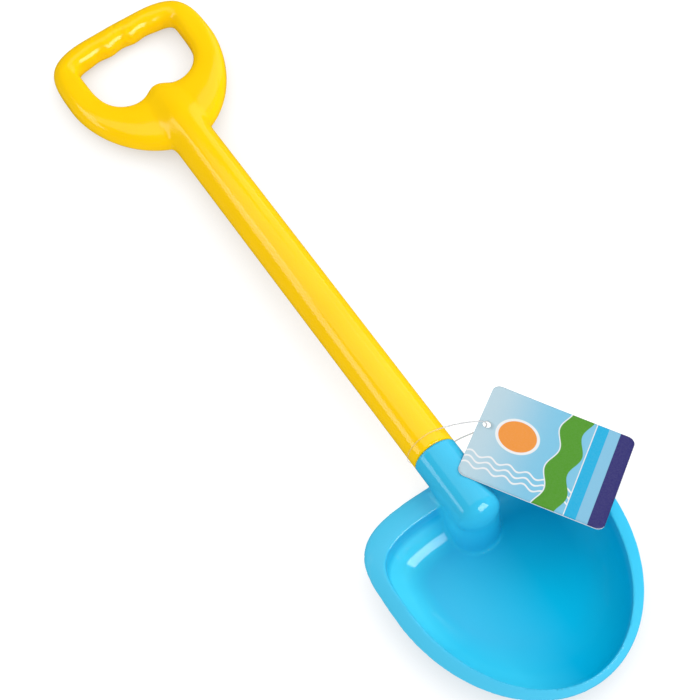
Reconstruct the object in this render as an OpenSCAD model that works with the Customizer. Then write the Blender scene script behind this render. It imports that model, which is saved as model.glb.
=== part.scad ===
// Long sand shovel: a moulded scoop with a socket, a blow moulded handle with
// a D grip snapped into it, and a card tag on a clear loop round the shaft.
// It lies on its back, hollow side up. X is across, Y runs from tip to grip,
// and the origin is on the ground under the middle of the scoop.

/* [Overall] */
// Length from the tip of the scoop to the end of the grip
overall_length = 552; // [460:1:700]

/* [Scoop] */
// Widest width of the scoop over its rim
scoop_w = 144; // [110:1:180]
// Length of the scoop from the back edge of its rim to the tip
scoop_l = 149; // [120:1:200]
// Length of the rounded shoulders, from the back edge to the widest place
scoop_shoulder = 55.5; // [40:0.5:70]
// Height of the rim's inner edge over the ground
scoop_h = 29.5; // [20:0.5:40]
// Wall of the scoop
scoop_wall = 2.4; // [1.6:0.1:4]
// Width of the flat rim at the back
rim_back = 15.5; // [8:0.5:24]
// Width of the flat rim at the sides
rim_side = 8.5; // [6:0.5:18]
// Width of the flat rim at the tip
rim_tip = 3.5; // [3:0.5:14]
// How far the rim's outer edge droops below its inner edge
rim_droop = 4; // [0:0.1:6]
// Run of the curved wall at the back, from the rim to the floor
wall_back = 18; // [12:0.5:30]
// Run of the curved wall at the sides
wall_side = 22; // [12:0.5:34]
// Run of the curved wall at the tip
wall_tip = 40; // [20:1:60]

/* [Socket] */
// Length of the socket from its mouth to the centre of its round end
socket_l = 34.5; // [24:0.5:40]
// How far the upright sides under the socket stand in from it
hump_in = 0.8; // [0.4:0.1:3]
// How far the mouth stands out behind the rim
socket_out = 11; // [3:0.5:16]
// Height of the socket's axis over the ground at the mouth
socket_rise = 34; // [30:0.5:44]

/* [Handle] */
// Diameter of the shaft, and of the socket that continues it
shaft_d = 27.4; // [24:0.2:34]
// Wall of the blow moulded handle
handle_wall = 2; // [1.4:0.1:3]
// Diameter of the spigot that goes into the socket
spigot_d = 22.4; // [18:0.2:23]
// Length of the spigot
spigot_l = 28; // [20:1:34]
// Height of the round snap bead on the spigot
bead_h = 0.6; // [0.4:0.1:0.9]
// Distance from the mouth to the middle of the snap bead
bead_in = 17; // [10:1:22]

/* [Grip] */
// Width of the D grip
grip_w = 107.5; // [96:0.5:130]
// Length of the D grip from the end of the bar down to the bottom of the D
grip_l = 113; // [104:1:140]
// Thickness of the grip
grip_t = 17.5; // [16:0.5:24]
// Length of the D above its widest place
grip_crown = 43; // [32:1:50]
// Width of the hand opening
opening_w = 72; // [64:1:84]
// Width of the bar across the end of the grip, from front to back
bar_w = 17; // [14:0.5:26]
// Length of the hand opening above its widest place
opening_crown = 13; // [10:0.5:20]
// Length of the hand opening below its widest place
opening_drop = 39.5; // [28:0.5:46]
// Distance from the hand opening to the round end of the shaft's ridge
neck_in = 9; // [4:0.5:20]
// Rise of the thumb bulge at the neck
thumb_rise = 6.5; // [0:0.5:9]
// Half width of the thumb bulge
thumb_half = 10.5; // [6:0.5:16]
// Height of the finger waves under the bar
wave_h = 1; // [0:0.1:1.6]
// Distance from one finger wave to the next
wave_pitch = 17; // [12:0.5:22]

/* [Tag] */
// Length of the card tag
tag_l = 86; // [60:1:100]
// Width of the card tag
tag_w = 71; // [40:1:80]
// Thickness of the card
tag_t = 0.6; // [0.3:0.1:1.2]
// Radius of the tag's corners
tag_corner = 5; // [2:0.5:8]
// Diameter of the hole in the tag
tag_hole_d = 5; // [3:0.5:7]
// Distance from the tag's end to the middle of its hole
tag_hole_in = 5; // [4:0.5:9]
// Place of the hole to one side of the tag's middle line
tag_hole_off = 5; // [0:0.5:10]
// Diameter of the clear plastic loop
loop_d = 0.8; // [0.6:0.1:1.4]

/* [Fit] */
// Clearance of the spigot in its socket, all round and at its ends
fit_gap = 0.15; // [0.05:0.05:0.3]
// Clearance of loose pieces from what carries them
seat_gap = 0.3; // [0.2:0.05:0.5]

/* [Hidden] */
$fn = 64;

// Overrun of cuts and overlap of fused shapes
over = 1;

// Turn of the round bars about their axis, which sets where their surface starts
seam_turn = 11;

// Roundness of the outlines and sections: 2 is an ellipse, more is squarer
shoulder_power = 4;
tip_power = 1.98;
crown_power = 4;
heel_power = 1.81;
opening_crown_power = 5;
opening_heel_power = 3.2;
section_power = 2.1;
wall_power = 2.5;

// Steps of the swept surfaces
scoop_steps = 72;
wall_steps = 9;
grip_steps = 96;
grip_sides = 16;
core_steps = 48;
core_sides = 12;
loop_sides = 8;

// Round sizes, and the place along Y of the socket's mouth from the scoop's widest line
shaft_r = shaft_d / 2;
spigot_r = spigot_d / 2;
hump_r = shaft_r - hump_in;
mouth_y = socket_out + scoop_shoulder;
tip_l = scoop_l - scoop_shoulder;

// The handle slopes down from the mouth until its bar lies on the ground
handle_reach = overall_length - socket_out - scoop_l;
bar_reach = handle_reach - bar_w / 2;
slope = asin((socket_rise - grip_t / 2 - seat_gap) / bar_reach);
handle_l = handle_reach / cos(slope);
grip_wide = handle_l - grip_crown;
heel_l = grip_l - grip_crown;
opening_wide = handle_l - bar_w - opening_crown;
neck_end = opening_wide - opening_drop + thumb_rise - shaft_r - neck_in;

// The tag lies across the socket and the rim of the scoop
tag_clear = seat_gap + tag_t / 2;
tag_lift = shaft_r + tag_clear;
tag_rim_drop = socket_rise + socket_l * sin(slope) - scoop_h + rim_droop - tag_clear;
tag_tilt = asin(tag_lift / norm([scoop_w / 2, tag_rim_drop])) + atan(tag_rim_drop / (scoop_w / 2));
tag_turn = -53.5;
tag_hole_across = 31.5;
tag_hole_along = -2.5;

// The loop hugs the shaft above the mouth, then reaches through the hole
loop_r = shaft_r + seat_gap + loop_d / 2;
loop_along = 7;
loop_from = 75;
loop_to = 285;
loop_step = 15;
loop_reach = [
    [13, 6, -11], [20, 4, -7.5], [27, 1, -4], [32.5, -1.5, -1],
    [34.4, -2.5, 3], [33, -1.5, 7], [27, 1, 9.5], [19, 4, 11], [11, 6, 12.5]
];

// A power that keeps the sign, for outlines rounder or squarer than an ellipse
function rounded(v, power) = sign(v) * pow(abs(v), 2 / power);

// A point on an outline that is half wide at its widest and has its own length and roundness up and down
function oval(half, up, down, up_power, down_power, turn) =
    let (s = sin(turn), power = s < 0 ? down_power : up_power, reach = s < 0 ? down : up)
    [half * rounded(cos(turn), power), reach * rounded(s, power)];

// A ring of the scoop, drawn in from the rim's outer edge by a back, side and tip inset, at a height
function scoop_ring(back, side, tip, z) = [
    for (i = [0:scoop_steps - 1])
        let (p = oval(scoop_w / 2 - side, scoop_shoulder - back, tip_l - tip, shoulder_power, tip_power,
                360 * i / scoop_steps))
        [p.x, p.y, z]
];

// The curved wall as squarish quarter ovals from the rim's inner edge to the floor, moved out by grow, between two heights
function wall_rings(grow, low, high) = [
    for (k = [0:wall_steps])
        let (turn = 90 * k / wall_steps, run = 1 - rounded(cos(turn), wall_power))
        scoop_ring(rim_back - grow + wall_back * run, rim_side - grow + wall_side * run,
            rim_tip - grow + wall_tip * run, low + (high - low) * (1 - rounded(sin(turn), wall_power)))
];

function reversed(list) = [for (i = [len(list) - 1:-1:0]) list[i]];

// The middle of a ring
function centre(ring) = [for (k = [0:2]) [for (p = ring) 1] * [for (p = ring) p[k]] / len(ring)];

// A closed skin over rings of equal count that run upwards or outwards, capped at both ends
module ring_skin(rings) {
    n = len(rings[0]);
    m = len(rings);
    points = concat([for (ring = rings) each ring], [centre(rings[0]), centre(rings[m - 1])]);
    faces = [
        for (i = [0:n - 1])
            let (j = (i + 1) % n)
            each [
                for (k = [0:m - 2])
                    let (a = k * n + i, b = k * n + j)
                    each [[a, a + n, b + n], [a, b + n, b]],
                [m * n, i, j], [m * n + 1, (m - 1) * n + j, (m - 1) * n + i]
            ]
    ];
    polyhedron(points, faces);
}

// A closed tube over rings that run round to the first again
module loop_skin(rings) {
    n = len(rings[0]);
    m = len(rings);
    points = [for (ring = rings) each ring];
    faces = [
        for (k = [0:m - 1], i = [0:n - 1])
            let (a = k * n + i, b = k * n + (i + 1) % n, c = (k + 1) % m * n + i, d = (k + 1) % m * n + (i + 1) % n)
            each [[a, d, c], [a, b, d]]
    ];
    polyhedron(points, faces);
}

// The frame of the handle: from the middle of the mouth along the sloping axis
module on_axis() translate([0, mouth_y, socket_rise]) rotate([-slope, 0, 0]) children();

// A round bar along the axis between two places
module axis_bar(r, from, to) translate([0, from, 0]) rotate([-90, seam_turn, 0]) cylinder(r = r, h = to - from);

// A round end of a bar along the axis
module axis_end(r, at) translate([0, at, 0]) rotate([-90, seam_turn, 0]) sphere(r);

// A round ring about the axis, for the bead and its groove
module axis_ring(r, thick, at) translate([0, at, 0]) rotate([-90, seam_turn, 0]) rotate_extrude() translate([r, 0]) circle(thick);

// The dished shell with its drooping rim
module pan() {
    rim_top = scoop_ring(0, 0, 0, scoop_h - rim_droop);
    rim_under = scoop_ring(0, 0, 0, scoop_h - rim_droop - scoop_wall);
    ring_skin(concat(
        reversed(wall_rings(scoop_wall, 0, scoop_h - scoop_wall)), [rim_under, rim_top],
        wall_rings(0, scoop_wall, scoop_h)
    ));
}

// The space over the pan's floor, sunk half into the wall
module pan_space() {
    top = socket_rise + shaft_d;
    ring_skin(concat(
        reversed(wall_rings(scoop_wall / 2, scoop_wall / 2, scoop_h)),
        [scoop_ring(rim_back - scoop_wall / 2, rim_side - scoop_wall / 2, rim_tip - scoop_wall / 2, top)]
    ));
}

// The socket's hump: upright sides from the tube down to the floor
module hump() {
    intersection() {
        translate([0, mouth_y, 0]) linear_extrude(socket_rise + socket_l * sin(slope)) {
            translate([0, -socket_l * cos(slope)]) circle(hump_r);
            translate([-hump_r, -socket_l * cos(slope)]) square([2 * hump_r, socket_l - rim_back]);
        }
        pan_space();
    }
}

module scoop() {
    color("deepskyblue") difference() {
        union() {
            pan();
            hump();
            on_axis() {
                axis_bar(shaft_r, -socket_l, 0);
                axis_end(shaft_r, -socket_l);
            }
        }
        on_axis() {
            axis_bar(spigot_r + fit_gap, -spigot_l - over, over);
            axis_ring(spigot_r, bead_h + fit_gap, -bead_in);
        }
    }
}

// A point of the grip's outer edge, across and along the axis
function grip_edge(turn) =
    let (p = oval(grip_w / 2, grip_crown, heel_l, crown_power, heel_power, turn))
    [p.x, grip_wide + p.y];

// A point of the hand opening, with finger waves under the bar and a thumb bulge at the neck
function opening_edge(turn) =
    let (
        p = oval(opening_w / 2, opening_crown, opening_drop, opening_crown_power, opening_heel_power, turn),
        fade = pow(max(0, 1 - pow(2 * p.x / opening_w, 2)), 2),
        wave = sin(turn) > 0 ? wave_h * cos(360 * p.x / wave_pitch) * fade : 0,
        thumb = sin(turn) < 0 ? thumb_rise * exp(-pow(p.x / thumb_half, 2)) : 0
    )
    [p.x, opening_wide + p.y + wave + thumb];

// Rings of the grip: a rounded section between its outer edge and the opening, drawn in by a wall
function grip_rings(steps, sides, wall) = [
    for (i = [0:steps - 1])
        let (
            turn = 360 * i / steps,
            outer = grip_edge(turn),
            inner = opening_edge(turn),
            middle = (outer + inner) / 2,
            half = (outer - inner) / 2 * (1 - 2 * wall / norm(outer - inner))
        )
        [for (j = [0:sides - 1])
            let (a = 360 * j / sides, p = middle + half * rounded(cos(a), section_power))
            [p.x, p.y, (grip_t / 2 - wall) * rounded(sin(a), section_power)]]
];

module handle() {
    color("gold") on_axis() difference() {
        union() {
            loop_skin(grip_rings(grip_steps, grip_sides, 0));
            axis_bar(shaft_r, fit_gap, neck_end);
            axis_end(shaft_r, neck_end);
            axis_bar(spigot_r, -spigot_l, handle_wall);
            axis_ring(spigot_r, bead_h, -bead_in);
        }
        loop_skin(grip_rings(core_steps, core_sides, handle_wall));
        axis_bar(shaft_r - handle_wall, handle_wall, neck_end - handle_wall);
        axis_bar(spigot_r - handle_wall, -spigot_l - over, handle_wall + over);
    }
}

module hang_tag() {
    flat = [tag_l / 2 - tag_corner, tag_w / 2 - tag_corner];
    color("lightblue") on_axis() rotate([0, tag_tilt, 0])
        translate([tag_hole_across, tag_hole_along, tag_lift - tag_t / 2])
        rotate([0, 0, tag_turn]) translate([tag_l / 2 - tag_hole_in, -tag_hole_off, 0])
        linear_extrude(tag_t) difference() {
            union() {
                square([tag_l, 2 * flat.y], center = true);
                square([2 * flat.x, tag_w], center = true);
                for (x = [-1, 1], y = [-1, 1]) translate([x * flat.x, y * flat.y]) circle(tag_corner);
            }
            translate([tag_hole_in - tag_l / 2, tag_hole_off]) circle(d = tag_hole_d);
        }
}

// The loop's route: an arc round the far side of the shaft, then the points out to the hole and back
loop_path = concat(
    [for (a = [loop_from:loop_step:loop_to]) [loop_r * cos(a), loop_along, loop_r * sin(a)]],
    loop_reach
);

// Rings square to the route at each of its points
function loop_rings() = [
    for (i = [0:len(loop_path) - 1])
        let (
            n = len(loop_path),
            run = loop_path[(i + 1) % n] - loop_path[(i + n - 1) % n],
            along = run / norm(run),
            side = cross(along, [0, 1, 0]),
            u = side / norm(side),
            v = cross(u, along)
        )
        [for (j = [0:loop_sides - 1])
            let (a = 360 * j / loop_sides)
            loop_path[i] + loop_d / 2 * (cos(a) * u + sin(a) * v)]
];

module tag_loop() {
    color("whitesmoke") on_axis() loop_skin(loop_rings());
}

scoop();
handle();
hang_tag();
tag_loop();
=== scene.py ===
import bpy
import numpy as np
from mathutils import Matrix


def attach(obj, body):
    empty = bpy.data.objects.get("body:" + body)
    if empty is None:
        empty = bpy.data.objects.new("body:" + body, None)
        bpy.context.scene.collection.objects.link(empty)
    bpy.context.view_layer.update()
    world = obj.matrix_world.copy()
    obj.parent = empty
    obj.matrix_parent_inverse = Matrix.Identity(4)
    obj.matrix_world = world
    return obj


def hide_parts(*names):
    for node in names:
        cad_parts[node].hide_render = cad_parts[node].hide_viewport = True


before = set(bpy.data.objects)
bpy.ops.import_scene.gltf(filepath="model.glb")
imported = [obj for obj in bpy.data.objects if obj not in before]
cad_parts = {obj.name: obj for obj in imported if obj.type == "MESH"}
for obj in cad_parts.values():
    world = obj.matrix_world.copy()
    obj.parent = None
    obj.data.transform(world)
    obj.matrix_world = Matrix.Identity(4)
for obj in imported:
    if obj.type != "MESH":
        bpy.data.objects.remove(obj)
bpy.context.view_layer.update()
mm = 0.001

# Sizes in millimetres, those of the part's source but for the blunter end of the socket, the fuller grip,
# the lower finger waves and the larger tag
overall = dict(length=552.0, socketOut=11.0, rise=34.0, seatGap=0.3)
scoop = dict(width=144.0, length=149.0, shoulder=55.5, height=29.5, wall=2.4, shoulderPower=4.0, tipPower=1.98,
             rimBack=15.5, rimSide=8.5, rimTip=3.5, droop=4.0, droopPower=1.5, tipDroopPower=1.0, tipThicker=0.8,
             wallBack=18.0, wallSide=22.0, wallTip=40.0, sidePower=2.2, backPower=2.4, backBlend=(8.0, 32.0),
             outward=0.4, tipOutward=0.1, rimRound=0.9, underRound=0.4, edgeRound=1.4)
socket = dict(length=34.5, reach=53.0, draft=0.03, fillet=3.0, nose=0.8, noseTop=9.0, noseFoot=12.0,
              mouthRound=0.5)
handle = dict(shaftWidth=27.4, spigotWidth=22.4, spigotLength=28.0, spigotSunk=1.0, fitGap=0.15, boreGap=1.0,
              neckBack=1.0, neckTaper=36.0, fillet=2.4, topFillet=5.5, topBlend=(2.8, 9.8),
              gripWidth=107.5, gripLength=113.0, gripThick=17.5, gripCrown=43.0, crownPower=4.0, heelPower=1.81,
              openingWidth=72.0, barWidth=17.0, openingCrown=13.0, openingDrop=39.5,
              openingCrownPower=5.0, openingHeelPower=3.2, sectionPower=2.9, barPower=2.1, barBlend=(16.0, 36.0),
              thumbRise=6.5, thumbHalf=10.5, waveHeight=0.8, wavePitch=17.0)

shaftR = handle["shaftWidth"] / 2
mouthY = overall["socketOut"] + scoop["shoulder"]
handleReach = overall["length"] - overall["socketOut"] - scoop["length"]
slope = np.arcsin((overall["rise"] - handle["gripThick"] / 2 - overall["seatGap"])
                  / (handleReach - handle["barWidth"] / 2))
handleLength = handleReach / np.cos(slope)


# World to the handle's own frame and back: x across, t along the axis from the mouth, z square to both
def toAxis(x, y, z):
    return x, (y - mouthY) * np.cos(slope) - (z - overall["rise"]) * np.sin(slope), \
        (y - mouthY) * np.sin(slope) + (z - overall["rise"]) * np.cos(slope)


def fromAxis(x, t, z):
    return x, mouthY + t * np.cos(slope) + z * np.sin(slope), \
        overall["rise"] - t * np.sin(slope) + z * np.cos(slope)


# 0 at low, 1 at high and straight between them, with low the higher for a fall
def ramp(value, low, high):
    return np.clip((value - low) / (high - low), 0, 1)


# The same ramp with level ends: 3 s^2 - 2 s^3
def easedRamp(value, low, high):
    share = ramp(value, low, high)
    return share ** 2 * (3 - 2 * share)


# From the first value to the second by a share
def blend(first, second, share):
    return first + (second - first) * share


# Smaller or larger of two fields, rounded over where they differ by less than k: (k - |a - b|)^2 / 4k
def softMin(a, b, k):
    return np.minimum(a, b) - np.maximum(k - np.abs(a - b), 0.0) ** 2 / (4 * k)


def softMax(a, b, k):
    return np.maximum(a, b) + np.maximum(k - np.abs(a - b), 0.0) ** 2 / (4 * k)


# A power that keeps the sign, for ovals squarer than an ellipse
def signedPower(v, power):
    return np.sign(v) * np.abs(v) ** (2 / power)


# Length of two sides as a squarish oval measures it
def powerSum(a, b, power):
    return (a ** power + b ** power) ** (1 / power)


# Grid values with no square of four that is in and out by turns, which would pinch the mesh to an edge with
# four faces: of its two points outside, the one nearer to the surface is put just inside
def unpinched(value, inner=-1e-3, passes=4):
    for axis in [0, 1, 2] * passes:
        plane = np.moveaxis(value, axis, 2)
        inside = plane < 0
        one, two = inside[:-1, :-1], inside[1:, :-1]
        i, j, k = np.nonzero((one == inside[1:, 1:]) & (two == inside[:-1, 1:]) & (one != two))
        corner = np.stack([plane[i, j, k], plane[i + 1, j, k], plane[i, j + 1, k], plane[i + 1, j + 1, k]])
        nearest = np.where(corner < 0, np.inf, corner).argmin(0)
        plane[i + nearest % 2, j + nearest // 2, k] = inner
    return value


# Mesh of the zero surface of a field: one point in each grid cell that the surface crosses, at the mean of
# the crossings on the cell's edges, one quad round each crossed edge, then steps along the slope onto the surface
def fieldSurface(field, low, high, step, settle=8, probe=0.05, flattest=0.05, stride=0.4):
    axes = [np.arange(a, b + step, step) for a, b in zip(low, high)]
    value = unpinched(field(*np.meshgrid(*axes, indexing="ij")))
    inside = value < 0
    size = np.array(value.shape)
    cells = tuple(size - 1)
    total, count = np.zeros(cells + (3,)), np.zeros(cells)
    quads = []
    for axis in range(3):
        a1, a2 = (axis + 1) % 3, (axis + 2) % 3
        first = np.moveaxis(value, (axis, a1, a2), (0, 1, 2))
        cross = (first[:-1] < 0) != (first[1:] < 0)
        share = np.where(cross, first[:-1] / np.where(cross, first[:-1] - first[1:], 1.0), 0.0)
        moved = np.moveaxis(total, (axis, a1, a2), (0, 1, 2))
        tally = np.moveaxis(count, (axis, a1, a2), (0, 1, 2))
        spot = (axes[axis][:-1, None, None] + share * step) * cross
        for d1 in (0, 1):
            for d2 in (0, 1):
                part = (slice(None), slice(d1, size[a1] - 1 + d1), slice(d2, size[a2] - 1 + d2))
                tally += cross[part]
                moved[..., axis] += spot[part]
                moved[..., a1] += cross[part] * axes[a1][None, d1:size[a1] - 1 + d1, None]
                moved[..., a2] += cross[part] * axes[a2][None, None, d2:size[a2] - 1 + d2]
    used = count > 0
    number = np.full(cells, -1)
    number[used] = np.arange(used.sum())
    points = total[used] / count[used][:, None]
    for axis in range(3):
        a1, a2 = (axis + 1) % 3, (axis + 2) % 3
        first = np.moveaxis(inside, (axis, a1, a2), (0, 1, 2))
        index = np.moveaxis(number, (axis, a1, a2), (0, 1, 2))
        i, j, k = np.nonzero((first[:-1] != first[1:])[:, 1:-1, 1:-1])
        ring = np.stack([index[i, j, k], index[i, j + 1, k], index[i, j + 1, k + 1], index[i, j, k + 1]], 1)
        back = ~first[:-1][:, 1:-1, 1:-1][i, j, k]
        ring[back] = ring[back][:, ::-1]
        quads.append(ring)
    small = step * probe
    for _ in range(settle):
        here = field(*points.T)
        slopeOf = np.stack([(field(*(points + small * e).T) - field(*(points - small * e).T)) / (2 * small)
                            for e in np.eye(3)], 1)
        move = -here[:, None] * slopeOf / np.maximum((slopeOf ** 2).sum(1), flattest)[:, None]
        far = np.linalg.norm(move, axis=1, keepdims=True)
        points = points + move * np.minimum(1.0, stride * step / np.maximum(far, 1e-9))
    return points, np.concatenate(quads)


# A smooth mesh object from points in millimetres and faces of equal length
def meshPiece(name, points, faces, material):
    mesh = bpy.data.meshes.new(name)
    mesh.from_pydata((points * mm).tolist(), [], faces.tolist())
    mesh.polygons.foreach_set("use_smooth", np.ones(len(mesh.polygons), bool))
    mesh.update()
    piece = bpy.data.objects.new(name, mesh)
    bpy.context.scene.collection.objects.link(piece)
    mesh.materials.append(material)
    return piece


# Inset of a point from the scoop's outline, as a share: 0 at the outer edge, 1 at the rim's inner edge,
# 2 where the curved wall meets the floor. Found by halving, on the family of drawn-in ovals.
def scoopInset(x, y, grow, halvings=26):
    up = y > 0
    power = np.where(up, scoop["shoulderPower"], scoop["tipPower"])
    reach = np.where(up, scoop["shoulder"], scoop["length"] - scoop["shoulder"])
    rimEnd = np.where(up, scoop["rimBack"], scoop["rimTip"])
    wallEnd = np.where(up, scoop["wallBack"], scoop["wallTip"])
    low, high = np.full(np.shape(x), -1.0), np.full(np.shape(x), 2.0)
    for _ in range(halvings):
        w = (low + high) / 2
        rim, run = np.minimum(w, 1.0), np.maximum(w - 1.0, 0.0)
        half = scoop["width"] / 2 - (scoop["rimSide"] - grow) * rim - scoop["wallSide"] * run
        end = reach - (rimEnd - grow) * rim - wallEnd * run
        out = (np.abs(x) / half) ** power + (np.abs(y) / end) ** power > 1
        low, high = np.where(out, low, w), np.where(out, w, high)
    return (low + high) / 2


# The scoop as a field: under the rim's slope, outside the hollow, over the underside and inside the outline,
# joined to the round socket and its upright hump by a soft minimum, cut off at the ground, less the bore
def scoopField(x, t, z):
    worldX, worldY, worldZ = fromAxis(x, t, z)
    flatX, flatY = np.broadcast_arrays(worldX, worldY)
    w = scoopInset(flatX, flatY, 0.0)
    under = scoopInset(flatX, flatY, scoop["wall"])
    tipShare = ramp(-flatY, 0, scoop["length"] - scoop["shoulder"]) ** 2
    droopPower = blend(scoop["droopPower"], scoop["tipDroopPower"], tipShare)
    rimTop = scoop["height"] - scoop["droop"] * np.maximum(1 - w, 0.0) ** droopPower
    rimLow = rimTop - scoop["wall"] * (1 + scoop["tipThicker"] * tipShare)
    wallRun, deep = scoop["wallSide"], scoop["height"] - scoop["wall"]
    power = blend(scoop["sidePower"], scoop["backPower"], easedRamp(flatY, *scoop["backBlend"]))
    outward = blend(scoop["outward"], scoop["tipOutward"], tipShare)
    hollow = wallRun * (1 - powerSum(np.minimum(2 - w, 1.0 + (1 - w) * outward * (w < 1)),
                                     np.maximum(scoop["height"] - worldZ, 0) / deep, power))
    belly = wallRun * (powerSum(2 - np.maximum(under, 1.0), np.maximum(deep - worldZ, 0) / deep, power) - 1)
    belly = np.where(under < 1, np.maximum(belly, (1 - under) * scoop["rimSide"]), belly)
    floorSide = np.minimum(rimLow - worldZ, belly)
    edge = -w * blend(scoop["rimSide"], scoop["rimTip"], tipShare)
    pan = softMax(worldZ - rimTop, hollow, scoop["rimRound"])
    pan = softMax(softMax(pan, floorSide, scoop["underRound"]), edge, scoop["edgeRound"])
    blunt = np.minimum(t + socket["reach"] - socket["noseTop"], 0) * shaftR / socket["noseTop"]
    tube = np.sqrt(x ** 2 + z ** 2 + blunt ** 2) - shaftR
    tube = softMax(tube, t, socket["mouthRound"])
    axisZ = overall["rise"] - t * np.sin(slope)
    blunt = np.minimum(worldY - mouthY + socket["reach"] - socket["noseFoot"], 0) * shaftR / socket["noseFoot"]
    plan = np.hypot(worldX, blunt) - shaftR - socket["draft"] * np.maximum(axisZ - worldZ, 0)
    hump = np.maximum(np.maximum(plan, z), floorSide)
    hump = np.maximum(hump, worldY - mouthY + scoop["rimBack"])
    body = np.maximum(softMin(pan, softMin(tube, hump, socket["nose"]), socket["fillet"]), -worldZ)
    bore = np.maximum(np.hypot(x, z) - handle["spigotWidth"] / 2 - handle["fitGap"],
                      -(t + handle["spigotLength"] + handle["boreGap"]))
    return np.maximum(body, -bore)


# Radius of a closed outline about a middle, by angle, from many points on it
def outlineRadius(points, angle):
    around = np.arctan2(points[:, 1], points[:, 0])
    order = np.argsort(around)
    return np.interp(angle, around[order], np.hypot(*points.T)[order], period=2 * np.pi)


# An oval of its own length and roundness above and below its widest line
def ovalPoints(half, up, down, upPower, downPower, count=1440):
    turn = np.linspace(0, 2 * np.pi, count, endpoint=False)
    s = np.sin(turn)
    power, reach = np.where(s < 0, downPower, upPower), np.where(s < 0, down, up)
    return np.stack([half * signedPower(np.cos(turn), power), reach * signedPower(s, power)], 1)


gripWide = handleLength - handle["gripCrown"]
openingWide = handleLength - handle["barWidth"] - handle["openingCrown"]
neckStart = openingWide - handle["openingDrop"] + handle["thumbRise"] - handle["neckBack"] - handle["neckTaper"]
gripMiddle = (gripWide + openingWide) / 2
gripEdge = ovalPoints(handle["gripWidth"] / 2, handle["gripCrown"], handle["gripLength"] - handle["gripCrown"],
                      handle["crownPower"], handle["heelPower"]) + (0, gripWide - gripMiddle)
openingEdge = ovalPoints(handle["openingWidth"] / 2, handle["openingCrown"], handle["openingDrop"],
                         handle["openingCrownPower"], handle["openingHeelPower"])
openingAcross = openingEdge[:, 0]
openingFade = np.maximum(0, 1 - (2 * openingAcross / handle["openingWidth"]) ** 2) ** 2
fingerWave = handle["waveHeight"] * np.cos(2 * np.pi * openingAcross / handle["wavePitch"]) * openingFade
thumbBulge = handle["thumbRise"] * np.exp(-(openingAcross / handle["thumbHalf"]) ** 2)
openingEdge[:, 1] += np.where(openingEdge[:, 1] > 0, fingerWave, thumbBulge) + openingWide - gripMiddle


# The handle as a field: a rounded section between the grip's two outlines, by angle about the grip's middle,
# joined to the round shaft by a soft minimum, softer on top than at the sides, with the spigot
def handleField(x, t, z):
    angle, far = np.arctan2(t - gripMiddle, x), np.hypot(x, t - gripMiddle)
    outer, inner = outlineRadius(gripEdge, angle), outlineRadius(openingEdge, angle)
    half = (outer - inner) / 2
    power = blend(handle["barPower"], handle["sectionPower"], ramp(handleLength - t, *handle["barBlend"]))
    across = np.abs((far - (outer + inner) / 2) / half)
    grip = (powerSum(across, np.abs(z / (handle["gripThick"] / 2)), power) - 1) * handle["gripThick"] / 2
    taper = np.maximum(t - neckStart, 0) * shaftR / handle["neckTaper"]
    shaft = np.sqrt(x ** 2 + z ** 2 + taper ** 2) - shaftR
    shaft = softMax(shaft, handle["fitGap"] - t, socket["mouthRound"])
    spigotMiddle = handle["spigotSunk"] - handle["spigotLength"] / 2
    spigotEnds = np.abs(t - spigotMiddle) - handle["spigotLength"] / 2 - handle["spigotSunk"]
    spigot = np.maximum(np.hypot(x, z) - handle["spigotWidth"] / 2, spigotEnds)
    fillet = blend(handle["fillet"], handle["topFillet"], ramp(z, *handle["topBlend"]))
    return np.minimum(softMin(grip, shaft, fillet), spigot)


# A wire of a shader graph: arithmetic on it adds Math nodes
class Wire:
    def __init__(self, finish, socket):
        self.finish, self.socket = finish, socket

    def math(self, operation, *values):
        return self.finish.add("ShaderNodeMath", dict(operation=operation), dict(enumerate(values)))

    def __add__(self, other): return self.math("ADD", self, other)
    def __radd__(self, other): return self.math("ADD", other, self)
    def __sub__(self, other): return self.math("SUBTRACT", self, other)
    def __rsub__(self, other): return self.math("SUBTRACT", other, self)
    def __mul__(self, other): return self.math("MULTIPLY", self, other)
    def __rmul__(self, other): return self.math("MULTIPLY", other, self)


# The node graph of a material or a world: each node is added by its type, its settings, and values or wires
# for its sockets
class Finish:
    def __init__(self, owner, shader="Principled BSDF"):
        owner.use_nodes = True
        self.nodes, self.links = owner.node_tree.nodes, owner.node_tree.links
        self.owner, self.shader = owner, self.nodes[shader]

    def fill(self, node, values):
        for key, value in values.items():
            if isinstance(value, Wire):
                self.links.new(value.socket, node.inputs[key])
            else:
                node.inputs[key].default_value = value

    def add(self, kind, settings=None, values=None, output=0):
        node = self.nodes.new(kind)
        for key, value in (settings or {}).items():
            setattr(node, key, value)
        self.fill(node, values or {})
        return Wire(self, node.outputs[output])

    def set(self, values):
        self.fill(self.shader, values)

    def place(self):
        return self.add("ShaderNodeTexCoord", {}, {}, "Object")

    def attribute(self, name):
        return self.add("ShaderNodeAttribute", dict(attribute_name=name), {}, "Fac")

    def bump(self, height):
        return self.add("ShaderNodeBump", {}, dict(Strength=1.0, Distance=1.0, Height=height))

    def noise(self, place, scale, detail=2.0, rough=0.5):
        return self.add("ShaderNodeTexNoise", {}, dict(Vector=place, Scale=scale, Detail=detail, Roughness=rough))

    def mix(self, share, first, second):
        return self.add("ShaderNodeMix", dict(data_type="RGBA"), {0: share, 6: first, 7: second}, 2)

    # 0 below low, 1 above high, eased between
    def ease(self, value, low, high):
        return self.add("ShaderNodeMapRange", dict(interpolation_type="SMOOTHSTEP"),
                        {"Value": value, "From Min": low, "From Max": high})

    # 1 between low and high with edges of a given softness
    def band(self, value, low, high, soft):
        return self.ease(value, low - soft, low + soft) * (1 - self.ease(value, high - soft, high + soft))


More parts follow.
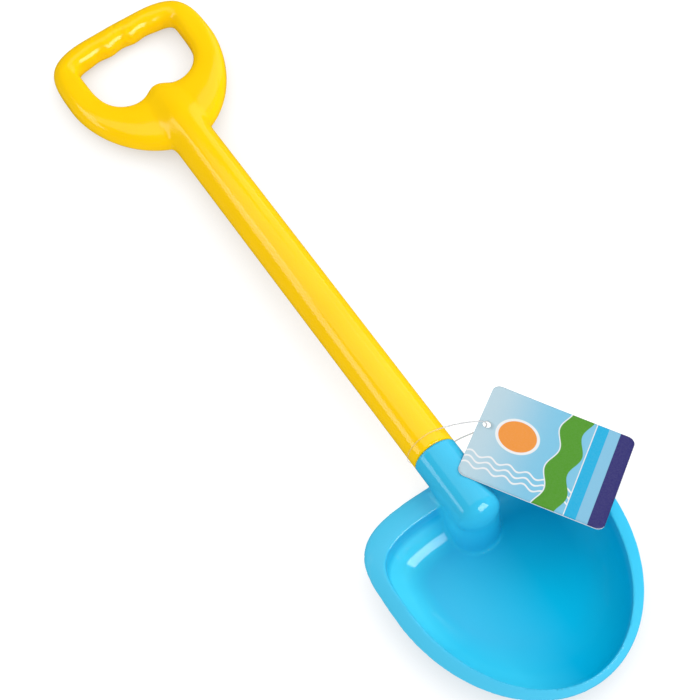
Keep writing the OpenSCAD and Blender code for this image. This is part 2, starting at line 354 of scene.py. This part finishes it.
# Moulded plastic: a slow drift of shade, a paler colour as a painted sheen and a brighter one as painted
# light, each where its own attribute is high, a coat as glossy as the "shine" attribute says, and a surface
# of slow waves, short ripples, a fine skin and dimples where the "finger" attribute is high
def mouldedPlastic(name, look):
    finish = Finish(bpy.data.materials.new(name))
    place = finish.place()
    drift = finish.noise(place, look["driftScale"], 2.0)
    shade = finish.mix(finish.ease(drift, *look["driftRange"]), look["deep"], look["light"])
    # Painted sheen, then painted light: paler and brighter copies of the plastic's colour stand in for reflections and
    # lamps
    shade = finish.mix(finish.attribute("paintedSheen"), shade, look["pale"])
    shade = finish.mix(finish.attribute("paintedLight"), shade, look["paintedLight"])
    wave = finish.noise(place, look["waveScale"], 0.0)
    ripple = finish.noise(place, look["rippleScale"], 1.0)
    skin = finish.noise(place, look["skinScale"], 3.0, 0.6)
    dimple = finish.noise(place, look["dimpleScale"], 1.0) * finish.attribute("finger") * look["dimpleHeight"]
    height = wave * look["waveHeight"] + ripple * look["rippleHeight"] + skin * look["skinHeight"] + dimple
    finish.set({"Base Color": shade, "Normal": finish.bump(height),
                "Roughness": look["rough"] + (drift - 0.5) * look["roughSpread"],
                "Coat Weight": finish.attribute("shine") * (look["coat"] + (drift - 0.5) * look["coatSpread"]),
                "IOR": look["ior"], "Specular IOR Level": look["gloss"], "Specular Tint": look["tint"],
                "Coat Roughness": look["coatRough"]})
    return finish.owner


# The pale colour is a painted sheen and the colour after it is painted light, lighter copies of the same plastic; deep
# and light are its random drift of tone
blueLook = dict(deep=(0.0, 0.43, 0.71, 1), light=(0.0, 0.46, 0.74, 1), pale=(0.075, 0.54, 0.81, 1),
                paintedLight=(0.08, 0.74, 0.95, 1), driftScale=9.0, driftRange=(0.3, 0.7), rough=0.45, roughSpread=0.1,
                ior=1.5, gloss=0.05, tint=(0.25, 0.8, 1, 1), coat=0.55, coatSpread=0.2, coatRough=0.06,
                waveScale=22.0, waveHeight=0.0003, rippleScale=70.0, rippleHeight=0.00004,
                skinScale=1400.0, skinHeight=0.000006, dimpleScale=200.0, dimpleHeight=0.0)
yellowLook = dict(deep=(0.96, 0.585, 0.0, 1), light=(0.99, 0.615, 0.001, 1), pale=(0.98, 0.62, 0.002, 1),
                  paintedLight=(0.99, 0.63, 0.002, 1), driftScale=12.0, driftRange=(0.3, 0.7), rough=0.45, roughSpread=0.1,
                  ior=1.5, gloss=0.04, tint=(1, 0.9, 0.3, 1), coat=0.5, coatSpread=0.2, coatRough=0.11,
                  waveScale=38.0, waveHeight=0.0008, rippleScale=110.0, rippleHeight=0.00012,
                  skinScale=1200.0, skinHeight=0.000008, dimpleScale=240.0, dimpleHeight=0.0016)
bluePlastic = mouldedPlastic("bluePlastic", blueLook)
yellowPlastic = mouldedPlastic("yellowPlastic", yellowLook)


# A number at each point of a mesh, for a material to read
def pointValue(piece, name, values):
    layer = piece.data.attributes.new(name, "FLOAT", "POINT")
    layer.data.foreach_set("value", np.asarray(values, np.float32))


# Scoop, in a grid with some room round it. Its painted sheen and painted light are ramps across x and along
# y, down from the rim's height and by the inset, with the weights of what they give: a paler rim, left floor
# and socket top as painted sheen, brighter left and back walls and hump as painted light
net = dict(step=1.0, scoopLow=(2.0, 4.0, 16.0), scoopHigh=(2.0, 2.5, 2.0),
           handleLow=(2.3, 2.6, 2.4), handleHigh=(2.0, 2.0, 2.0))
tone = dict(left=(0, -30), right=(0, 30), farRight=(0, 60), back=(-30, 10), bowl=(3, 1), socket=(-8, 14),
            rim=(1.06, 0.94), rimDepth=9, wallTop=(1.0, 1.1), wallFoot=(2.1, 1.4), floor=(1.5, 2.0),
            floorLeft=(12.5, -37.5), hump=(1.43, 1.0633), hollow=0.93,
            floorPaintedSheen=0.7, rimRightLess=0.45, socketPaintedSheen=0.5, leftPaintedLight=0.5, backPaintedLight=0.6, backRightLess=0.5,
            humpPaintedLight=0.8, dull=0.03, rimShine=0.1)
scoopLow = -np.array([scoop["width"] / 2, scoop["length"] + overall["socketOut"], overall["rise"]]) - net["scoopLow"]
scoopHigh = np.array([scoop["width"] / 2, 0, shaftR]) + net["scoopHigh"]
points, quads = fieldSurface(scoopField, scoopLow, scoopHigh, net["step"])
points = np.stack(fromAxis(*points.T), 1)
scoopShell = meshPiece("scoopShell", points, quads, bluePlastic)
x, y, z = points.T
inset, over = scoopInset(x, y, 0.0), z - scoop["height"]
leftShare, backShare = ramp(x, *tone["left"]), ramp(y, *tone["back"])
bowlShare, socketShare = ramp(over, *tone["bowl"]), easedRamp(over, *tone["socket"])
rimShare = ramp(inset, *tone["rim"]) * (over > -tone["rimDepth"]) * bowlShare
wallShare = ramp(inset, *tone["wallTop"]) * ramp(inset, *tone["wallFoot"]) * bowlShare
humpShare = ramp(np.hypot(x, y - mouthY + socket["length"]) / shaftR, *tone["hump"]) * (1 - socketShare)
# Painted sheen: paler rim, less so at the far right, paler floor towards the left and paler socket top
rimPaintedSheen = rimShare * (1 - tone["rimRightLess"] * ramp(x, *tone["farRight"]))
floorPaintedSheen = tone["floorPaintedSheen"] * ramp(inset, *tone["floor"]) * ramp(x, *tone["floorLeft"]) * bowlShare
# Painted light: brighter left and back walls, less so at the back's right, and a brighter hump
leftPaintedLight = leftShare * blend(tone["leftPaintedLight"], 1, backShare)
backPaintedLight = tone["backPaintedLight"] * backShare * (1 - tone["backRightLess"] * ramp(x, *tone["right"]))
hollowShine = np.minimum(tone["dull"] + leftShare * backShare, 1)
pointValue(scoopShell, "paintedSheen", np.maximum(np.maximum(rimPaintedSheen, floorPaintedSheen), tone["socketPaintedSheen"] * socketShare))
pointValue(scoopShell, "paintedLight", np.maximum(wallShare * np.maximum(leftPaintedLight, backPaintedLight), tone["humpPaintedLight"] * humpShare))
pointValue(scoopShell, "shine",
           np.maximum(np.where(inset > tone["hollow"], hollowShine, tone["rimShine"]), socketShare))
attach(scoopShell, "shovel")
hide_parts("scoop")
print("scoop", len(points), "points")

# Handle, with dimples on the finger side of the bar
dimpled = dict(fromBar=(-6, 0), fromMiddle=(37.5, 7.5))
handleLow = -np.array([handle["gripWidth"] / 2, handle["spigotLength"], shaftR]) - net["handleLow"]
handleHigh = np.array([handle["gripWidth"] / 2, handleLength, shaftR]) + net["handleHigh"]
points, quads = fieldSurface(handleField, handleLow, handleHigh, net["step"])
points = np.stack(fromAxis(*points.T), 1)
gripAndShaft = meshPiece("gripAndShaft", points, quads, yellowPlastic)
# No painted sheen or painted light on the handle
pointValue(gripAndShaft, "paintedSheen", np.zeros(len(points)))
pointValue(gripAndShaft, "paintedLight", np.zeros(len(points)))
pointValue(gripAndShaft, "shine", np.ones(len(points)))
axisX, axisT, axisUp = toAxis(*points.T)
barShare = ramp(axisT - handleLength + handle["barWidth"], *dimpled["fromBar"])
pointValue(gripAndShaft, "finger", barShare * ramp(np.abs(axisX), *dimpled["fromMiddle"]))
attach(gripAndShaft, "shovel")
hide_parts("handle")
print("handle", len(points), "points")

# Hang tag
tag = dict(length=88.0, width=73.0, thick=0.6, corner=5.0, hole=5.0, holeIn=5.0, holeOff=5.0,
           turn=-53.5, holeAcross=31.5, holeAlong=-2.5, curl=1.2, printSpan=100.0)
tagLift = shaftR + overall["seatGap"] + tag["thick"] / 2
tagDrop = overall["rise"] + socket["length"] * np.sin(slope) - scoop["height"] + scoop["droop"] \
    - overall["seatGap"] - tag["thick"] / 2
tagTilt = np.arcsin(tagLift / np.hypot(scoop["width"] / 2, tagDrop)) + np.arctan(tagDrop / (scoop["width"] / 2))


# From the tag's own frame, u along and v across from its middle, w up, to the world: turned about its hole,
# lifted onto the socket and tilted about the axis until it meets the rim
def fromTag(u, v, w):
    turn = np.radians(tag["turn"])
    a, b = u + tag["length"] / 2 - tag["holeIn"], v - tag["holeOff"]
    x = np.cos(turn) * a - np.sin(turn) * b + tag["holeAcross"]
    t = np.sin(turn) * a + np.cos(turn) * b + tag["holeAlong"]
    z = tagLift + w
    return fromAxis(np.cos(tagTilt) * x + np.sin(tagTilt) * z, t, -np.sin(tagTilt) * x + np.cos(tagTilt) * z)


# The card: straight lines from the round hole out to an even walk of the rounded outline, the same below,
# with the far end curling up by the square of the distance from the hole
def cardSurface(count=560, rows=26):
    turn = np.linspace(0, 2 * np.pi, 2000, endpoint=False)
    reach = np.array([tag["length"] / 2 - tag["corner"], tag["width"] / 2 - tag["corner"]])
    way = np.stack([np.cos(turn), np.sin(turn)], 1)
    outline = np.sign(way) * reach + tag["corner"] * way
    outline = np.vstack([outline, outline[:1]])
    length = np.concatenate([[0], np.cumsum(np.linalg.norm(np.diff(outline, axis=0), axis=1))])
    walk = np.linspace(0, length[-1], count, endpoint=False)
    outline = np.stack([np.interp(walk, length, outline[:, k]) for k in (0, 1)], 1)
    hole = np.array([tag["holeIn"] - tag["length"] / 2, tag["holeOff"]])
    spoke = outline - hole
    holeEdge = hole + tag["hole"] / 2 * spoke / np.linalg.norm(spoke, axis=1, keepdims=True)
    share = np.linspace(0, 1, rows)[:, None, None]
    flat = holeEdge * (1 - share) + outline * share
    curl = tag["curl"] * np.maximum(0, (flat[..., 0] - hole[0]) / tag["length"]) ** 2
    sides = [np.stack(fromTag(flat[..., 0], flat[..., 1], curl + up * tag["thick"] / 2), -1) for up in (1, -1)]
    points = np.concatenate([side.reshape(-1, 3) for side in sides])
    index = np.arange(rows * count).reshape(rows, count)
    nextIndex = np.roll(index, -1, 1)
    top = np.stack([index[:-1], index[1:], nextIndex[1:], nextIndex[:-1]], -1).reshape(-1, 4)
    under = top[:, ::-1] + rows * count
    ends = [np.stack([a, a + rows * count, b + rows * count, b], -1)
            for a, b in ((index[-1], nextIndex[-1]), (nextIndex[0], index[0]))]
    place = np.concatenate([flat.reshape(-1, 2)] * 2)
    return points, np.concatenate([top, under] + ends), place, len(top)


# Printed card: a pale field that deepens along the card, an edged disc, wavy lines, a wavy band with one edge
# and three stripes, all from the card's own length and width in millimetres, under a thin varnish
def printedCard(name, look):
    finish = Finish(bpy.data.materials.new(name))
    spot = finish.add("ShaderNodeUVMap", dict(uv_map="print"))
    along, across = (finish.add("ShaderNodeSeparateXYZ", {}, dict(Vector=spot), way) * tag["printSpan"] for way in "XY")
    shade = finish.mix(finish.ease(along, *look["deepens"]), look["fieldPale"], look["field"])
    discX, discY = along - look["discAt"][0], across - look["discAt"][1]
    far = discX.math("SQRT", discX * discX + discY * discY)
    for colour, radius in look["discs"]:
        inDisc = 1 - finish.ease(far, radius - look["discSoft"], radius + look["discSoft"])
        shade = finish.mix(inDisc, shade, look[colour])
    swell = across.math("SINE", along * look["swellTurn"]) * look["swellHeight"]
    for level in look["swells"]:
        inLine = finish.band(across - swell, level, level + look["swellWide"], look["bandSoft"])
        shade = finish.mix(inLine, shade, look["white"])
    sway = across.math("SINE", across * look["swayTurn"]) * look["swayHeight"]
    for colour, low, high in look["bands"]:
        shade = finish.mix(finish.band(along - sway, low, high, look["bandSoft"]), shade, look[colour])
    for colour, start in look["stripes"]:
        inStripe = finish.ease(along, start - look["stripeSoft"], start + look["stripeSoft"])
        shade = finish.mix(inStripe, shade, look[colour])
    fibre = finish.noise(finish.place(), look["fibreScale"], 3.0, 0.6)
    finish.set({"Base Color": finish.mix(fibre * look["fibreShare"], shade, look["white"]),
                "Roughness": look["rough"] + (fibre - 0.5) * look["roughSpread"],
                "Normal": finish.bump(fibre * look["fibreHeight"]), "Specular IOR Level": look["gloss"]})
    return finish.owner


# Bare card: off white with short grey fibres
def bareCard(name, look):
    finish = Finish(bpy.data.materials.new(name))
    fibre = finish.noise(finish.place(), look["fibreScale"], 4.0, 0.65)
    finish.set({"Base Color": finish.mix(finish.ease(fibre, *look["fibreRange"]), look["deep"], look["light"]),
                "Roughness": look["rough"] + (fibre - 0.5) * look["roughSpread"],
                "Normal": finish.bump(fibre * look["fibreHeight"])})
    return finish.owner


printLook = dict(fieldPale=(0.41, 0.55, 0.62, 1), field=(0.17, 0.46, 0.64, 1), navy=(0.018, 0.015, 0.14, 1),
                 white=(0.7, 0.71, 0.72, 1), orange=(0.72, 0.25, 0.03, 1), green=(0.06, 0.26, 0.006, 1),
                 cyan=(0.0, 0.36, 0.62, 1), lightBlue=(0.19, 0.45, 0.63, 1), deepens=(0, 45),
                 discAt=(24.0, 5.0), discs=(("white", 13.2), ("orange", 11.4)), discSoft=0.2,
                 swells=(-28.0, -23.5, -19.0), swellTurn=0.55, swellHeight=1.4, swellWide=1.3,
                 bands=(("green", 47.0, 60.5), ("white", 46.3, 47.0)), bandSoft=0.15, swayTurn=0.2, swayHeight=2.2,
                 stripes=(("white", 63.9), ("cyan", 64.5), ("lightBlue", 71.5), ("navy", 78.5)), stripeSoft=0.1,
                 fibreScale=900.0, fibreShare=0.06, fibreHeight=0.00001, rough=0.36, roughSpread=0.12, gloss=0.06)
backLook = dict(deep=(0.78, 0.78, 0.76, 1), light=(0.86, 0.86, 0.85, 1), fibreScale=1200.0, fibreRange=(0.35, 0.65),
                fibreHeight=0.00002, rough=0.6, roughSpread=0.2)
points, quads, cardPlace, printed = cardSurface()
hangTag = meshPiece("hangTag", points, quads, printedCard("printedCard", printLook))
hangTag.data.materials.append(bareCard("bareCard", backLook))
face = np.arange(len(quads))
hangTag.data.polygons.foreach_set("material_index", (face >= printed).astype(np.int32))
hangTag.data.polygons.foreach_set("use_smooth", face < 2 * printed)  # the card's cut edge stays flat
uvLayer = hangTag.data.uv_layers.new(name="print")
corner = np.empty(len(hangTag.data.loops), np.int32)
hangTag.data.loops.foreach_get("vertex_index", corner)
printPlace = (cardPlace + (tag["length"] / 2, 0)) / tag["printSpan"]
uvLayer.data.foreach_set("uv", printPlace[corner].astype(np.float32).ravel())
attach(hangTag, "tag")
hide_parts("hang_tag")
print("tag", len(points), "points")


# A smooth closed line through given points: on each stretch the cubic whose slopes at its ends
# are half the step between the neighbours
def smoothRing(through, parts):
    p0, p1, p2, p3 = (np.roll(through, k, 0)[:, None] for k in (1, 0, -1, -2))
    s = np.linspace(0, 1, parts, endpoint=False)[None, :, None]
    curve = p1 + 0.5 * s * (p2 - p0 + s * (2 * p0 - 5 * p1 + 4 * p2 - p3 + s * (3 * (p1 - p2) + p3 - p0)))
    return curve.reshape(-1, 3)


# A round tube along a closed line: circles square to it
def tubeAlong(line, thick, sides=12):
    along = np.roll(line, -1, 0) - np.roll(line, 1, 0)
    along = along / np.linalg.norm(along, axis=1, keepdims=True)
    u = np.cross(along, (0, 1, 0))
    u = u / np.linalg.norm(u, axis=1, keepdims=True)
    v = np.cross(u, along)
    turn = np.arange(sides) * 2 * np.pi / sides
    points = line[:, None] + thick / 2 * (np.cos(turn)[:, None] * u[:, None] + np.sin(turn)[:, None] * v[:, None])
    index = np.arange(len(line) * sides).reshape(len(line), sides)
    ahead, beside = np.roll(index, -1, 0), np.roll(index, -1, 1)
    quads = np.stack([index, ahead, np.roll(ahead, -1, 1), beside], -1).reshape(-1, 4)
    return points.reshape(-1, 3), quads


# Tag loop, clearer where it lies on the shaft than where it is free
loop = dict(thick=0.8, along=7.0, start=75.0, stop=285.0, turnStep=15.0, parts=6,
            reach=[(13, 6, -11), (20, 4, -7.5), (27, 1, -4), (32.5, -1.5, -1), (34.4, -2.5, 3),
                   (33, -1.5, 7), (27, 1, 9.5), (19, 4, 11), (11, 6, 12.5)])
loopLook = dict(deep=(0.46, 0.48, 0.5, 1), light=(0.6, 0.61, 0.62, 1), cloudScale=300.0,
                rough=0.15, roughSpread=0.1, ior=1.5, clear=0.12, cloudy=0.5)
loopR = shaftR + overall["seatGap"] + loop["thick"] / 2
turn = np.radians(np.arange(loop["start"], loop["stop"] + 1, loop["turnStep"]))
hug = np.stack([loopR * np.cos(turn), np.full(len(turn), loop["along"]), loopR * np.sin(turn)], 1)
points, quads = tubeAlong(smoothRing(np.vstack([hug, loop["reach"]]), loop["parts"]), loop["thick"])
onShaft = np.hypot(points[:, 0], points[:, 2]) < loopR + loop["thick"]
points = np.stack(fromAxis(*points.T), 1)
clearPlastic = Finish(bpy.data.materials.new("clearPlastic"))
cloud = clearPlastic.noise(clearPlastic.place(), loopLook["cloudScale"])
clearPlastic.set({"Base Color": clearPlastic.mix(cloud, loopLook["deep"], loopLook["light"]),
                  "Roughness": loopLook["rough"] + cloud * loopLook["roughSpread"],
                  "Alpha": clearPlastic.attribute("cloudy"), "IOR": loopLook["ior"]})
tagLoop = meshPiece("tagLoop", points, quads, clearPlastic.owner)
pointValue(tagLoop, "cloudy", np.where(onShaft, loopLook["clear"], loopLook["cloudy"]))
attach(tagLoop, "loop")
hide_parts("tag_loop")
print("loop", len(points), "points")

# Floor, just under the piece: it glows, less so in the corners near the piece, for soft contact shadows
floorLook = dict(size=8.0, height=-0.0002, shade=(0.25, 0.25, 0.25, 1), rough=0.9, shadow=(0.42, 0.42, 0.43, 1),
                 glow=(0.92, 0.92, 0.92, 1), contact=0.03, samples=16)
bpy.ops.mesh.primitive_plane_add(size=floorLook["size"], location=(0, 0, floorLook["height"]))
floor = bpy.context.object
floor.name = "floor"
floorFinish = Finish(bpy.data.materials.new("paleFloor"))
openness = floorFinish.add("ShaderNodeAmbientOcclusion", dict(samples=floorLook["samples"]),
                           dict(Distance=floorLook["contact"]), "AO")
floorFinish.set({"Emission Color": floorFinish.mix(openness, floorLook["shadow"], floorLook["glow"]),
                 "Emission Strength": 1.0, "Base Color": floorLook["shade"], "Roughness": floorLook["rough"],
                 "Specular IOR Level": 0.0})
floor.data.materials.append(floorFinish.owner)
floor.visible_glossy = False

# White surroundings: a level that grows or falls along the lean, brightest past the tip of the scoop
skyLook = dict(level=0.95, lean=(0.05, -0.35, 0.0), colour=(1, 1, 1, 1))
world = bpy.data.worlds.new("studioWorld")
bpy.context.scene.world = world
sky = Finish(world, "Background")
skyWay = sky.add("ShaderNodeTexCoord", {}, {}, "Generated")
skyLean = sky.add("ShaderNodeVectorMath", dict(operation="DOT_PRODUCT"), {0: skyWay, 1: skyLook["lean"]}, "Value")
sky.set({"Strength": skyLean * skyLook["level"] + skyLook["level"], "Color": skyLook["colour"]})
world.cycles_visibility.glossy = False


# A matrix from three columns, right, up and back, and a place
def standing(columns, place):
    return Matrix([[*row, at] for row, at in zip(np.stack(columns, 1), place)] + [[0, 0, 0, 1]])


# A rectangle of light between two ends, as wide as given, facing a point: a card is seen only in gloss,
# the others light without being seen there
def panelLight(name, start, end, width, radiance, aim, cardOnly=False):
    start, end, aim = (np.array(p) for p in (start, end, aim))
    middle = (start + end) / 2
    longWay = end - start
    size = np.linalg.norm(longWay)
    back = middle - aim
    back = back - longWay * (back @ longWay) / size ** 2
    back = back / np.linalg.norm(back)
    data = bpy.data.lights.new(name, "AREA")
    data.shape, data.size, data.size_y = "RECTANGLE", size, width
    data.energy = radiance * np.pi * size * width
    lamp = bpy.data.objects.new(name, data)
    bpy.context.scene.collection.objects.link(lamp)
    sideWay = longWay / size
    lamp.matrix_world = standing([sideWay, np.cross(back, sideWay), back], middle)
    lamp.visible_diffuse, lamp.visible_glossy = not cardOnly, cardOnly


shovelMiddle, shaftFoot, scoopMiddle = (0.0, 0.2, 0.03), (0.0, 0.2, 0.04), (0.0, 0.03, 0.03)
panelLight("keyLight", start=(1.1, -0.3, 1.0), end=(1.1, 0.7, 1.0), width=0.8, radiance=3.0, aim=shovelMiddle)
panelLight("overheadCard", start=(-0.6, 0.75, 1.0), end=(1.15, 0.75, 1.0), width=0.6, radiance=1.6,
           aim=shovelMiddle, cardOnly=True)
panelLight("sideCard", start=(1.15, 0.85, 1.0), end=(1.25, 0.85, 0.05), width=0.9, radiance=1.25,
           aim=shovelMiddle, cardOnly=True)
panelLight("stripCard", start=(-0.45, 1.06, 0.9), end=(-1.15, 0.5, 0.25), width=0.26, radiance=4.4,
           aim=shaftFoot, cardOnly=True)
panelLight("windowCard", start=(0.0, -1.1, 0.8), end=(0.85, -0.75, 0.8), width=0.95, radiance=11.0,
           aim=scoopMiddle, cardOnly=True)

# Camera, by its angles about a point it looks at, its lens given in pixels of a square picture
view = dict(elevation=62.467, azimuth=-24.055, roll=-9.676, distance=1.19967, aim=(-0.0006, 0.15835, 0.020),
            focal=2000.0, frameSize=700.0, sensor=36.0, clipEnd=20.0)
elevation, azimuth, roll = np.radians([view["elevation"], view["azimuth"], view["roll"]])
back = np.array([np.sin(azimuth) * np.cos(elevation), -np.cos(azimuth) * np.cos(elevation), np.sin(elevation)])
level = np.array([np.cos(azimuth), np.sin(azimuth), 0.0])
upright = np.cross(back, level)
right = np.cos(roll) * level + np.sin(roll) * upright
upward = -np.sin(roll) * level + np.cos(roll) * upright
place = np.array(view["aim"]) + back * view["distance"]
cameraData = bpy.data.cameras.new("camera")
cameraData.sensor_width = view["sensor"]
cameraData.lens = view["sensor"] * view["focal"] / view["frameSize"]
cameraData.clip_end = view["clipEnd"]
camera = bpy.data.objects.new("camera", cameraData)
bpy.context.scene.collection.objects.link(camera)
camera.matrix_world = standing([right, upward, back], place)
bpy.context.scene.camera = camera
bpy.context.scene.view_settings.view_transform = "Standard"
print("camera at", np.round(place, 4))
